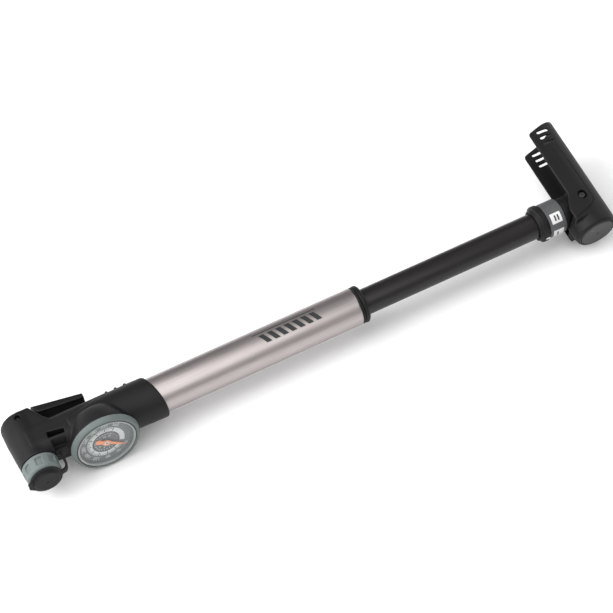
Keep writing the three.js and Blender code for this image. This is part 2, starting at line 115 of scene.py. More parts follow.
# ---- meshes ---------------------------------------------------------------------------------------------
SHARP_ANGLE = math.radians(38)


def new_piece(name, points, faces, sharp=True):
    mesh = bpy.data.meshes.new(name)
    mesh.from_pydata([tuple(p) for p in points], [], faces)
    mesh.validate()
    mesh.update()
    mesh.shade_smooth()
    if sharp:
        mesh.set_sharp_from_angle(angle=SHARP_ANGLE)
    obj = bpy.data.objects.new(name, mesh)
    bpy.context.collection.objects.link(obj)
    return obj


def finish_piece(obj, body, material, slot, *nodes):
    obj.data.materials.append(material)
    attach(obj, body)
    if nodes:
        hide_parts(*nodes)
    return obj


def softened(profile, radius, steps=4):
    """The profile with its corners rounded; points on the axis stay."""
    points = [Vector(p) for p in profile]
    closed = points[0].y > 0
    result = []
    count = len(points)
    for i, corner in enumerate(points):
        if not closed and i in (0, count - 1):
            result.append(corner)
            continue
        before = points[(i - 1) % count]
        after = points[(i + 1) % count]
        reach_in = min(radius, 0.45 * (before - corner).length)
        reach_out = min(radius, 0.45 * (after - corner).length)
        start = corner + (before - corner).normalized() * reach_in
        end = corner + (after - corner).normalized() * reach_out
        for k in range(steps + 1):
            t = k / steps
            result.append(start * (1 - t) ** 2 + corner * 2 * t * (1 - t) + end * t * t)
    return [(p.x, p.y) for p in result]


AROUND = {"x": (1, 2), "y": (2, 0), "z": (0, 1)}


def turned(name, place, axis, profile, centre=(0, 0, 0), sides=96, corner=0.25):
    """A turned piece: profile lists (along, radius) round the axis through centre."""
    rings = softened(profile, corner)
    closed = rings[0][1] > 0
    along_index = "xyz".index(axis)
    first, second = AROUND[axis]
    points = []
    starts = []
    for along, radius in rings:
        starts.append(len(points))
        copies = 1 if radius < 1e-6 else sides
        for k in range(copies):
            angle = 2 * math.pi * k / sides
            point = [0.0, 0.0, 0.0]
            point[along_index] = along
            point[first] = radius * math.cos(angle)
            point[second] = radius * math.sin(angle)
            points.append([p + c for p, c in zip(point, centre)])
    faces = []
    count = len(rings)
    for i in range(count if closed else count - 1):
        j = (i + 1) % count
        low_pole = rings[i][1] < 1e-6
        high_pole = rings[j][1] < 1e-6
        for k in range(sides):
            n = (k + 1) % sides
            low = (starts[i], starts[i]) if low_pole else (starts[i] + k, starts[i] + n)
            high = (starts[j], starts[j]) if high_pole else (starts[j] + k, starts[j] + n)
            loop = [low[0], low[1], high[1], high[0]]
            face = [v for m, v in enumerate(loop) if v != loop[m - 1]]
            if len(face) > 2:
                faces.append(face)
    return facing_out(new_piece(name, place.world(points), faces))


def facing_out(obj):
    mesh = obj.data
    volume = 0.0
    for polygon in mesh.polygons:
        corners = [mesh.vertices[i].co for i in polygon.vertices]
        for k in range(1, len(corners) - 1):
            volume += corners[0].dot(corners[k].cross(corners[k + 1]))
    if volume < 0:
        mesh.flip_normals()
    return obj


# ---- solid shapes as distance fields, meshed on a fine grid --------------------------------------------
def smooth_max(a, b, k):
    if k <= 0:
        return np.maximum(a, b)
    h = np.maximum(k - np.abs(a - b), 0) / k
    return np.maximum(a, b) + h * h * k / 4


def smooth_min(a, b, k):
    return -smooth_max(-a, -b, k)


def cut(whole, tool, edge=0.4):
    return smooth_max(whole, -tool, edge)


def span(u, low, high):
    return np.abs(u - (low + high) / 2) - (high - low) / 2


def cylinder(p, axis, centre, radius, low, high, edge=0.5):
    """A rod along one axis; centre is a full point whose coordinate along the axis isn't used."""
    index = "xyz".index(axis)
    first, second = AROUND[axis]
    radial = np.hypot(p[first] - centre[first], p[second] - centre[second]) - radius
    return smooth_max(radial, span(p[index], low, high), edge)


def box(p, low, high, edge=0.5):
    sides = [span(p[i], low[i], high[i]) for i in range(3)]
    return smooth_max(smooth_max(sides[0], sides[1], edge), sides[2], edge)


def polygon(u, v, corners):
    """Signed distance to a flat outline, negative inside."""
    nearest = np.full(u.shape, 1e9)
    sign = np.ones(u.shape)
    for i, (ax, ay) in enumerate(corners):
        bx, by = corners[i - 1]
        ex, ey = bx - ax, by - ay
        wx, wy = u - ax, v - ay
        t = np.clip((wx * ex + wy * ey) / (ex * ex + ey * ey), 0, 1)
        nearest = np.minimum(nearest, (wx - ex * t) ** 2 + (wy - ey * t) ** 2)
        above = v >= ay
        below = v < by
        left = ex * wy > ey * wx
        flip = (above & below & left) | ~(above | below | left)
        sign = np.where(flip, -sign, sign)
    return sign * np.sqrt(nearest)


def prism(p, axis, corners, low, high, edge=0.5, rounding=0.0):
    """A plate whose outline lies in the plane across the axis, with rounded corners."""
    index = "xyz".index(axis)
    u, v = [p[i] for i in range(3) if i != index]
    flat = polygon(u, v, corners) - rounding
    return smooth_max(flat, span(p[index], low, high), edge)


def field_mesh(name, place, field, low, high, step):
    """Meshes the zero surface of a field between two corners, on a grid of that step."""
    axes = [np.arange(low[i] - 2 * step, high[i] + 3 * step, step) for i in range(3)]
    grid = np.meshgrid(*axes, indexing="ij")
    inside = field(grid) < 0
    nx, ny, nz = [size - 1 for size in inside.shape]
    counts = sum(inside[i:nx + i, j:ny + j, k:nz + k].astype(int)
                 for i in (0, 1) for j in (0, 1) for k in (0, 1))
    mixed = (counts > 0) & (counts < 8)
    number = np.full(mixed.shape, -1, int)
    number[mixed] = np.arange(mixed.sum())
    cells = np.argwhere(mixed)
    points = np.stack([axes[i][cells[:, i]] + step / 2 for i in range(3)], axis=1)
    points = settled(field, points, step)
    faces = []
    for axis in range(3):
        first, second = [i for i in range(3) if i != axis]
        start = [slice(None)] * 3
        end = [slice(None)] * 3
        start[axis] = slice(0, -1)
        end[axis] = slice(1, None)
        crossing = inside[tuple(start)] != inside[tuple(end)]
        leaving = inside[tuple(start)]
        edges = np.argwhere(crossing)
        keep = np.all(edges > 0, axis=1) & np.all(edges < np.array(mixed.shape), axis=1)
        edges = edges[keep]
        ring = []
        for a, b in ((-1, -1), (0, -1), (0, 0), (-1, 0)):
            cell = edges.copy()
            cell[:, first] += a
            cell[:, second] += b
            ring.append(number[cell[:, 0], cell[:, 1], cell[:, 2]])
        quads = np.stack(ring, axis=1)
        out = leaving[edges[:, 0], edges[:, 1], edges[:, 2]]
        if axis == 1:
            out = ~out
        quads[~out] = quads[~out][:, ::-1]
        faces.extend(quads.tolist())
    return facing_out(new_piece(name, place.world(points), faces, sharp=False))


def settled(field, points, step):
    """Moves points onto the zero surface along the field's slope."""
    reach = step * 0.6
    start = points.copy()
    nudge = 1e-3
    for _ in range(5):
        value = field([points[:, i] for i in range(3)])
        slope = np.stack([
            (field([points[:, i] + (nudge if i == axis else 0) for i in range(3)]) - value) / nudge
            for axis in range(3)], axis=1)
        scale = np.maximum((slope ** 2).sum(axis=1), 0.05)
        points = points - (value / scale)[:, None] * slope
        points = start + np.clip(points - start, -reach, reach)
    return points


# ---- materials ------------------------------------------------------------------------------------------
def shader(name, roughness, metallic=0.0):
    material = bpy.data.materials.new(name)
    material.use_nodes = True
    surface = material.node_tree.nodes["Principled BSDF"]
    surface.inputs["Roughness"].default_value = roughness
    surface.inputs["Metallic"].default_value = metallic
    return material, material.node_tree, surface


def node(tree, kind, **settings):
    made = tree.nodes.new(kind)
    for key, value in settings.items():
        if key in made.inputs:
            made.inputs[key].default_value = value
        else:
            setattr(made, key, value)
    return made


def noise(tree, scale, detail=4.0, stretch=(1, 1, 1)):
    """Noise in the model's own metres; stretch divides its frequency along each axis."""
    where = tree.nodes.new("ShaderNodeTexCoord")
    mapping = tree.nodes.new("ShaderNodeMapping")
    mapping.inputs["Scale"].default_value = [1 / s for s in stretch]
    made = node(tree, "ShaderNodeTexNoise", Scale=scale, Detail=detail)
    tree.links.new(where.outputs["Object"], mapping.inputs["Vector"])
    tree.links.new(mapping.outputs["Vector"], made.inputs["Vector"])
    return made.outputs["Fac"]


def ramp(tree, source, dark, light, low=0.3, high=0.7):
    made = tree.nodes.new("ShaderNodeValToRGB")
    made.color_ramp.elements[0].position = low
    made.color_ramp.elements[1].position = high
    made.color_ramp.elements[0].color = (*dark, 1)
    made.color_ramp.elements[1].color = (*light, 1)
    tree.links.new(source, made.inputs["Fac"])
    return made.outputs["Color"]


def vary_roughness(tree, surface, source, low, high):
    made = node(tree, "ShaderNodeMapRange")
    made.inputs["To Min"].default_value = low
    made.inputs["To Max"].default_value = high
    tree.links.new(source, made.inputs["Value"])
    tree.links.new(made.outputs["Result"], surface.inputs["Roughness"])


def bump(tree, surface, source, depth, strength=1.0):
    made = node(tree, "ShaderNodeBump", Strength=strength, Distance=depth)
    tree.links.new(source, made.inputs["Height"])
    tree.links.new(made.outputs["Normal"], surface.inputs["Normal"])


def shade(colour, factor):
    return tuple(min(1.0, c * factor) for c in colour)


def paint_edge_highlight(tree, colour, highlit_colour, amount):
    """Mixes a paler colour in along the outer edges, a painted highlight where they catch the light."""
    geometry = tree.nodes.new("ShaderNodeNewGeometry")
    # painted highlight: convex edges, found by pointiness, get the paler colour
    edges = ramp(tree, geometry.outputs["Pointiness"], (0, 0, 0), (amount, amount, amount), 0.52, 0.62)
    mix = node(tree, "ShaderNodeMix", data_type="RGBA")
    tree.links.new(edges, mix.inputs["Factor"])
    tree.links.new(colour, mix.inputs["A"])
    mix.inputs["B"].default_value = (*highlit_colour, 1)
    return mix.outputs["Result"]


def moulded(name, colour, roughness=0.5, grain=0.00002, highlight=0.35, grain_scale=2600, specular=0.4):
    """Matte moulded plastic: a fine spark-eroded grain, faint clouding and paler edges, a painted highlight
    where they catch the light.
    """
    material, tree, surface = shader(name, roughness)
    surface.inputs["Specular IOR Level"].default_value = specular
    clouds = noise(tree, 70, 3)
    fine = noise(tree, grain_scale, 5)
    base = ramp(tree, clouds, shade(colour, 0.86), shade(colour, 1.14))
    # painted highlight: a paler colour along the convex edges
    highlit_colour = paint_edge_highlight(tree, base, shade(colour, 2.1), highlight)
    tree.links.new(highlit_colour, surface.inputs["Base Color"])
    vary_roughness(tree, surface, fine, roughness - 0.08, roughness + 0.1)
    bump(tree, surface, fine, grain)
    return material


def rubber_like(name, colour):
    material, tree, surface = shader(name, 0.7)
    surface.inputs["Specular IOR Level"].default_value = 0.25
    surface.inputs["Sheen Weight"].default_value = 0.08
    clouds = noise(tree, 160, 4)
    fine = noise(tree, 1500, 6)
    tree.links.new(ramp(tree, clouds, shade(colour, 0.75), shade(colour, 1.35)), surface.inputs["Base Color"])
    vary_roughness(tree, surface, clouds, 0.55, 0.78)
    bump(tree, surface, fine, 0.00003)
    return material


def brushed(name, colour, roughness, depth, stretch, metallic=1.0):
    """Satin metal with fine drawn lines and faint handling marks."""
    material, tree, surface = shader(name, roughness, metallic)
    lines = noise(tree, 2400, 5, stretch)
    marks = noise(tree, 120, 4, (3, 1, 1))
    tree.links.new(ramp(tree, lines, shade(colour, 0.92), shade(colour, 1.06)), surface.inputs["Base Color"])
    vary_roughness(tree, surface, marks, roughness - 0.05, roughness + 0.07)
    bump(tree, surface, lines, depth, 0.6)
    return material


def plain_metal(name, colour, roughness):
    return brushed(name, colour, roughness, 0.000006, (1, 1, 1))


# the highlight values set how strongly each plastic's edges get a painted highlight
BLACK = moulded("black_plastic", (0.0075, 0.0075, 0.0081), 0.5, specular=0.22)
LEVER_BLACK = moulded("lever_plastic", (0.005, 0.005, 0.0055), 0.4, highlight=0.5, specular=0.3)
RUBBER = rubber_like("black_rubber", (0.0045, 0.0045, 0.0048))
NUT_GREY = moulded("grey_plastic", (0.135, 0.163, 0.158), 0.5, highlight=0.15)
BEZEL_GREY = moulded("bezel_grey", (0.118, 0.143, 0.137), 0.48, highlight=0.15)
COLLAR_GREY = moulded("collar_grey", (0.08, 0.083, 0.085), 0.5, highlight=0.25)
DISC_GREY = moulded("end_disc_grey", (0.045, 0.045, 0.044), 0.6, grain=0.00008, grain_scale=1600)
SILVER = brushed("silver_barrel", (0.43, 0.39, 0.385), 0.36, 0.000012, (60, 1, 1))
ANODISED = brushed("black_anodised", (0.011, 0.0095, 0.0095), 0.36, 0.00001, (40, 1, 1), metallic=0.3)
BRASS = plain_metal("brass_parts", (0.62, 0.44, 0.18), 0.3)
STEEL = plain_metal("steel_parts", (0.3, 0.31, 0.32), 0.35)
# painted shade: the pins' steel is drawn near-black for the shade in their recesses
PIN_STEEL_SHADED = plain_metal("steel_pin_painted_shade", (0.06, 0.06, 0.065), 0.4)
ORANGE = moulded("needle_orange", (0.75, 0.24, 0.09), 0.45, highlight=0.0)
INK_DARK = moulded("dial_ink_dark", (0.018, 0.02, 0.021), 0.5, highlight=0.0)
INK_PALE = moulded("dial_ink_pale", (0.5, 0.53, 0.52), 0.5, highlight=0.0)
WHITE_LABEL = moulded("white_label", (0.7, 0.7, 0.7), 0.4, highlight=0.0)
DIAL_GREY = moulded("dial_grey", (0.1, 0.112, 0.112), 0.5, highlight=0.0)
DIAL_CENTRE = moulded("dial_centre", (0.075, 0.088, 0.094), 0.5, highlight=0.0)
LENS_EDGE = moulded("lens_edge_pale", (0.3, 0.32, 0.31), 0.35, highlight=0.0)
HUB_PALE = moulded("hub_pale", (0.62, 0.52, 0.44), 0.4, highlight=0.0)


def clear_lens():
    material, tree, surface = shader("lens_clear", 0.04)
    surface.inputs["Base Color"].default_value = (0.9, 0.93, 0.93, 1)
    surface.inputs["Alpha"].default_value = 0.06
    surface.inputs["Coat Weight"].default_value = 0.15
    vary_roughness(tree, surface, noise(tree, 300, 3), 0.03, 0.08)
    return material


LENS = clear_lens()

# ---- head ------------------------------------------------------------------------------------------------
NOZZLE = (NOZZLE_X, 0, 0)
GAUGE = (GAUGE_X, 0, 0)
LEVER_PIN = (-167.2, 17.1, 0)
VENTS = (
    ((-156.6, -0.6), (-147.7, -2.5), (-148.0, -4.4), (-156.9, -3.8)),
    ((-156.1, -6.1), (-148.7, -7.0), (-149.4, -9.6), (-156.2, -10.0)),
)
SLANT_TOP = (-159.3, 22)      # pump-frame x and y of the fork's slanted end
SLANT_NORMAL = (0.878, 0.48)  # square to the slanted end, towards the barrel and outwards
FORK_FLOOR = 12.3
VENT_DEPTH_Z = 3              # the vents' floors lie this far from the middle plane


def head_field(p):
    x, y, z = p
    radial = np.hypot(x - NOZZLE_X, z)
    column = 10.4 + 0.9 * np.clip((y + 9.9) / 19, 0, 1)
    tower = smooth_max(radial - column, y - 22, 3.6)
    tower = smooth_max(tower, -10.4 - y, 0.6)
    fork_side = ((NOZZLE_X, 5), (NOZZLE_X, 21.8), SLANT_TOP, (-154, FORK_FLOOR), (-150, 5))
    fork = prism(p, "z", fork_side, -10.6, 10.6, 2.2)
    upper = smooth_min(tower, fork, 0.5)
    beyond = (SLANT_TOP[0] - x) * SLANT_NORMAL[0] + (SLANT_TOP[1] - y) * SLANT_NORMAL[1]
    past_slant = smooth_max(beyond, FORK_FLOOR - y, 0.4)
    upper = cut(upper, past_slant, 1.5)
    upper = cut(upper, box(p, (-173, 12, -4.9), (-150, 30, 4.9), 0.4), 0.5)
    section = np.hypot(np.maximum(np.abs(z) - 4, 0), np.maximum(y - 4.5, 0) + np.maximum(-2.5 - y, 0)) - 7
    web = smooth_max(section, span(x, NOZZLE_X, -118), 0.5)
    sleeve_end = -94 - y * 7 / 25.5
    flare = 0.5 * np.clip(-y / 12, 0, 1) * np.clip((x + 110) / 17, 0, 1)
    sleeve_r = 11.6 + 1.15 * np.clip((x + 142) / 16, 0, 1) + flare
    sleeve = smooth_max(np.hypot(y, z) - sleeve_r, np.maximum(-144 - x, x - sleeve_end), 1.0)
    ridge = box(p, (-140, 8, -5), (-99.5, 12.95, 5), 1.2)
    for rib in (-117, -111.5, -106):
        ridge = smooth_min(ridge, cylinder(p, "z", (rib, 13.1, 0), 1.0, -4.6, 4.6, 0.8), 0.3)
    cup_radius = 12 + 7.6 * np.sqrt(np.clip((2 - y) / 15, 0, 1))
    cup = smooth_max(np.hypot(x - GAUGE_X, z) - cup_radius, span(y, -13, 2), 1.2)
    body = smooth_min(upper, web, 1.0)
    body = np.minimum(body, sleeve)
    body = smooth_min(body, ridge, 0.3)
    body = smooth_min(body, cup, 0.8)
    body = smooth_min(body, cylinder(p, "y", NOZZLE, 8.4, -17, -10), 0.3)
    for vent in VENTS:
        pocket = smooth_max(prism(p, "z", vent, -20, 20, 0.3, 0.3), VENT_DEPTH_Z - np.abs(z), 0.3)
        body = cut(body, pocket, 0.5)
    body = cut(body, cylinder(p, "z", LEVER_PIN, 1.6, -20, 20))
    body = cut(body, cylinder(p, "y", NOZZLE, 7.2, -30, 2))
    body = cut(body, cylinder(p, "y", NOZZLE, 3.6, 1, 30))
    body = cut(body, cylinder(p, "x", (0, 0, 0), 11.2, -112.3, -60))
    body = cut(body, cylinder(p, "y", GAUGE, 13.5, -30, -3.5))
    return cut(body, cylinder(p, "y", GAUGE, 15.5, -30, -11.9))


def build_head():
    head = field_mesh("head_body_shell", PUMP, head_field, (-178.6, -17, -19.8), (-90, 23.2, 19.8), 0.5)
    finish_piece(head, "head", BLACK, "black_plastic", "head_body")
    profile = [(-9.6, 0), (-9.6, 0.9), (-9.3, 1.4), (9.3, 1.4), (9.6, 0.9), (9.6, 0)]
    pin = turned("lever_pin_rod", PUMP, "z", profile, LEVER_PIN, 40, 0.1)
    # the lever pin gets the near-black steel, painted shade of its recess
    finish_piece(pin, "head", PIN_STEEL_SHADED, "steel_parts", "lever_pin")


def lever_field(p):
    x, y, z = p
    side = polygon(x, y, ((-157.7, 22.5), (-155.3, 18.0), (-129.6, 16.8), (-129.6, 19.0))) - 0.6
    half_width = 8.2 - 3.0 * np.clip((x + 158) / 29, 0, 1) - 0.1 * np.clip(y - 17, 0, 6)
    paddle = smooth_max(side, np.abs(z) - half_width, 0.9)
    paddle = cut(paddle, cylinder(p, "x", (0, 28.6, 0), 8.6, -150, -132, 1.0), 0.8)
    stem = prism(p, "z", ((-167.2, 16.1), (-156.5, 17.9), (-156.5, 21.4), (-167.2, 20.5)), -4.3, 4.3, 0.5)
    eye = cylinder(p, "z", LEVER_PIN, 3.4, -4.3, 4.3)
    lobe = cylinder(p, "z", (-168.7, 17.1, 0), 3.4, -4.3, 4.3)
    body = smooth_min(smooth_min(paddle, stem, 0.4), np.minimum(eye, lobe), 0.4)
    return cut(body, cylinder(p, "z", LEVER_PIN, 1.5, -20, 20))


def build_lever():
    lever = field_mesh("lock_lever_paddle", PUMP, lever_field, (-172.2, 13.6, -8.3), (-129, 22.8, 8.3), 0.4)
    finish_piece(lever, "lever", LEVER_BLACK, "black_plastic", "lock_lever")


# ---- valve nut, dust cap and strap -----------------------------------------------------------------------
def nut_field(p):
    x, y, z = p
    radial = np.hypot(x - NOZZLE_X, z)
    angle = np.arctan2(z, x - NOZZLE_X)
    outer = 10.5 - 0.6 * np.clip((-10.9 - y) / 7.8, 0, 1)
    body = smooth_max(radial - outer, span(y, -20.1, -10.9), 0.7)
    body = smooth_max(body, (radial - y * 0.9 - 26.9) * 0.75, 0.4)
    pitch = 2 * math.pi / 8
    turn = (angle + pitch / 2) % pitch - pitch / 2
    across = turn * radial
    flute = np.maximum(np.maximum(np.abs(across) - 1.9, span(y, -17.4, -13)), 9.55 - radial)
    body = cut(body, flute, 0.3)
    body = cut(body, smooth_max(radial - 8.8, -17.5 - y, 0.3))
    return cut(body, radial - 4.3)


def build_nut():
    nut = field_mesh("valve_nut_body", PUMP, nut_field, (-177.7, -20.2, -10.6), (-156.5, -10.8, 10.6), 0.33)
    finish_piece(nut, "nut", NUT_GREY, "grey_plastic", "valve_nut")


def cap_field(p):
    x, y, z = p
    radial = np.hypot(x - NOZZLE_X, z)
    flange = smooth_max(radial - 9.3, span(y, -21.6, -20.5), 0.5)
    disc = smooth_max(radial - 7.4, span(y, -23.1, -20.5), 1.0)
    tab = prism(p, "y", ((-175, -4.2), (-177.4, -2.1), (-177.4, 2.1), (-175, 4.2)), -22.2, -20.8, 0.8, 0.2)
    plug = smooth_max(radial - 3.8, span(y, -20.8, -17.9), 0.6)
    body = smooth_min(smooth_min(flange, disc, 0.4), tab, 0.6)
    body = smooth_min(body, plug, 0.4)
    return cut(body, np.sqrt((x - NOZZLE_X) ** 2 + (y + 23.4) ** 2 + z ** 2) - 0.7, 0.4)


STRAP_ROUTE = ((-154.5, -9.2), (-153.9, -13.2), (-154.1, -17.6), (-155.4, -20.2), (-158.0, -21.05))


def swept_strip(name, place, route, half_width, half_thick, ends=24, sides=16):
    """A flat strip of rounded section along a smooth curve in the pump's middle plane."""
    knots = [Vector((x, y, 0)) for x, y in route]
    stations = []
    for k in range(ends + 1):
        t = k / ends * (len(knots) - 1)
        i = min(int(t), len(knots) - 2)
        f = t - i
        p0, p1, p2, p3 = knots[max(i - 1, 0)], knots[i], knots[i + 1], knots[min(i + 2, len(knots) - 1)]
        stations.append(0.5 * (2 * p1 + (p2 - p0) * f + (2 * p0 - 5 * p1 + 4 * p2 - p3) * f ** 2
                               + (3 * p1 - p0 - 3 * p2 + p3) * f ** 3))
    points, faces = [], []
    for k, station in enumerate(stations):
        ahead = (stations[min(k + 1, ends)] - stations[max(k - 1, 0)]).normalized()
        side = Vector((-ahead.y, ahead.x, 0))
        for m in range(sides):
            a = 2 * math.pi * m / sides
            wide = math.copysign(abs(math.cos(a)) ** 0.55, math.cos(a)) * half_width
            thick = math.copysign(abs(math.sin(a)) ** 0.55, math.sin(a)) * half_thick
            points.append(station + side * thick + Vector((0, 0, wide)))
    for k in range(ends):
        for m in range(sides):
            n = (m + 1) % sides
            faces.append([k * sides + m, k * sides + n, (k + 1) * sides + n, (k + 1) * sides + m])
    faces.append(list(range(sides))[::-1])
    faces.append([ends * sides + m for m in range(sides)])
    return facing_out(new_piece(name, place.world([tuple(p) for p in points]), faces))


def build_cap():
    cap = field_mesh("dust_cap_body", PUMP, cap_field, (-177.7, -23.2, -9.4), (-157.7, -17.8, 9.4), 0.33)
    finish_piece(cap, "cap", RUBBER, "black_rubber", "dust_cap")
    strap = swept_strip("cap_strap_band", PUMP, STRAP_ROUTE, 1.9, 0.7)
    strap.data.materials.append(RUBBER)
    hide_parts("cap_strap")
    start = PUMP.world([(-154.3, -10.5, 0)])[0]
    end = PUMP.world([(-156.5, -20.8, 0)])[0]
    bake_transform(strap)


# ---- gauge -----------------------------------------------------------------------------------------------
DIAL_FACE = -14.62           # pump-frame y of the dial's printed face
PRINT_THICK = 0.05
ZERO_ANGLE = math.degrees(math.atan2(7, 9.7))   # needle's rest direction, from +X towards -Z
SCALE_SWEEP = 270


def dial_point(radius, degrees, y):
    """A point on the dial; degrees run clockwise, as seen from the front, from the scale's zero."""
    angle = math.radians(ZERO_ANGLE + degrees)
    return (GAUGE_X + radius * math.cos(angle), y, -radius * math.sin(angle))


def dial_band(name, inner, outer, start, end, lift, material, slot, steps=64):
    """A printed arc on the dial, a thin raised film of ink."""
    points, faces = [], []
    front = DIAL_FACE - lift
    back = front + PRINT_THICK
    section = ((inner, front), (outer, front), (outer, back), (inner, back))
    for k in range(steps + 1):
        degrees = start + (end - start) * k / steps
        for radius, y in section:
            points.append(dial_point(radius, degrees, y))
    for k in range(steps):
        for m in range(4):
            n = (m + 1) % 4
            faces.append([4 * k + m, 4 * k + n, 4 * k + 4 + n, 4 * k + 4 + m])
    faces.append([0, 1, 2, 3])
    faces.append([4 * steps + m for m in (3, 2, 1, 0)])
    band = facing_out(new_piece(name, PUMP.world(points), faces))
    return finish_piece(band, "head", material, slot)


def joined(name, parts):
    chosen = {"active_object": parts[0], "selected_editable_objects": parts, "selected_objects": parts}
    with bpy.context.temp_override(**chosen):
        bpy.ops.object.join()
    parts[0].name = name
    return parts[0]


def tick_marks(name, inner, outer, width, count, lift, material, slot):
    points, faces = [], []
    front = DIAL_FACE - lift
    for k in range(count):
        degrees = SCALE_SWEEP * k / (count - 1)
        middle = (inner + outer) / 2
        half = math.degrees(width / 2 / middle)
        base = len(points)
        start, end = degrees - half, degrees + half
        corners = [(inner, start), (outer, start), (outer, end), (inner, end)]
        for y in (front, front + PRINT_THICK):
            points.extend(dial_point(radius, turn, y) for radius, turn in corners)
        faces.extend([[base, base + 1, base + 2, base + 3], [base + 7, base + 6, base + 5, base + 4]])
        faces.extend([[base + m, base + 4 + m, base + 4 + (m + 1) % 4, base + (m + 1) % 4] for m in range(4)])
    marks = facing_out(new_piece(name, PUMP.world(points), faces))
    return finish_piece(marks, "head", material, slot)


def numerals(name, radius, size, labels, lift, material, slot):
    """Numbers round the dial, each reading upright towards its own tick."""
    parts = []
    for k, label in enumerate(labels):
        degrees = SCALE_SWEEP * k / (len(labels) - 1)
        data = bpy.data.curves.new(name, "FONT")
        data.body = label
        data.size = size * MM
        data.extrude = PRINT_THICK * MM / 2
        data.align_x = "CENTER"
        data.align_y = "CENTER"
        made = bpy.data.objects.new(name, data)
        bpy.context.collection.objects.link(made)
        centre = Vector(PUMP.world([dial_point(radius, degrees, DIAL_FACE - lift)])[0])
        hub = Vector(PUMP.world([(GAUGE_X, DIAL_FACE - lift, 0)])[0])
        outward = (centre - hub).normalized()
        facing = Vector((0, -1, 0))
        right = outward.cross(facing)
        turn = Matrix((right, outward, facing)).transposed()
        made.matrix_world = Matrix.Translation(centre) @ turn.to_4x4()
        bpy.context.view_layer.update()
        mesh = bpy.data.meshes.new_from_object(made)
        mesh.transform(made.matrix_world)
        bpy.data.objects.remove(made)
        part = bpy.data.objects.new(f"{name}_{k}", mesh)
        bpy.context.collection.objects.link(part)
        parts.append(part)
    return finish_piece(joined(name, parts), "head", material, slot)


def gauge_ring(name, profile, corner, material, slot, *nodes, sides=128):
    """A piece turned round the gauge's axis; profile lists (pump-frame y, radius)."""
    finish_piece(turned(name, PUMP, "y", profile, GAUGE, sides, corner), "head", material, slot, *nodes)


def build_gauge():
    bezel = [(-13.3, 15.75), (-13.3, 19.8), (-13.6, 20.0), (-14.2, 19.95), (-16.1, 19.0), (-16.5, 18.6),
             (-16.5, 17.7), (-16.3, 17.5), (-15.6, 17.45), (-15.6, 15.75)]
    gauge_ring("gauge_bezel_ring", bezel, 0.25, BEZEL_GREY, "bezel_grey", "gauge_bezel")
    seal = [(-15.65, 16.2), (-15.9, 16.2), (-16.0, 17.0), (-16.0, 17.4), (-15.65, 17.4)]
    gauge_ring("lens_seat_ring", seal, 0.05, INK_DARK, "black_rubber")
    lens = [(-16.35, 0), (-16.25, 6), (-16.0, 12), (-15.75, 15.5), (-16.1, 15.6), (-16.4, 12.1),
            (-16.65, 6.1), (-16.75, 0)]
    gauge_ring("gauge_lens_disc", lens, 0.12, LENS, "lens_clear", "gauge_lens")
    rim = [(-15.7, 15.8), (-15.7, 16.1), (-16.1, 16.9), (-16.45, 16.9), (-16.5, 16.5), (-16.3, 15.9)]
    gauge_ring("lens_edge_ring", rim, 0.08, LENS_EDGE, "lens_clear")
    wall = [(-14.62, 15.15), (-14.62, 15.7), (-15.55, 15.7), (-15.55, 15.5)]
    gauge_ring("gauge_inner_wall", wall, 0.05, DIAL_GREY, "dial_grey", sides=96)
    dial = [(-13.3, 1.2), (-13.3, 15.1), (-14.6, 15.1), (-14.6, 1.2)]
    gauge_ring("gauge_dial_face", dial, 0.05, DIAL_GREY, "dial_grey", "gauge_dial", sides=96)
    dial_band("dial_pale_band", 8.0, 10.9, 0, 348, 0.02, INK_PALE, "dial_grey")
    dial_band("dial_dark_ring", 7.2, 7.8, -32, 322, 0.02, INK_DARK, "dial_grey")
    dial_band("dial_inner_disc", 1.4, 7.0, 0, 360, 0.02, DIAL_CENTRE, "dial_grey")
    tick_marks("dial_fine_ticks", 9.6, 10.8, 0.28, 46, 0.06, INK_DARK, "dial_grey")
    tick_marks("dial_main_ticks", 8.6, 10.8, 0.5, 10, 0.07, INK_DARK, "dial_grey")
    tick_marks("dial_inner_ticks", 5.8, 6.8, 0.28, 19, 0.06, INK_PALE, "dial_grey")
    outer_labels = [str(40 * k) for k in range(10)]
    inner_labels = [str(4 * k) for k in range(8)]
    numerals("dial_outer_numbers", 12.9, 2.9, outer_labels, 0.05, INK_PALE, "dial_grey")
    numerals("dial_inner_numbers", 4.4, 1.6, inner_labels, 0.06, INK_PALE, "dial_grey")
    build_needle()


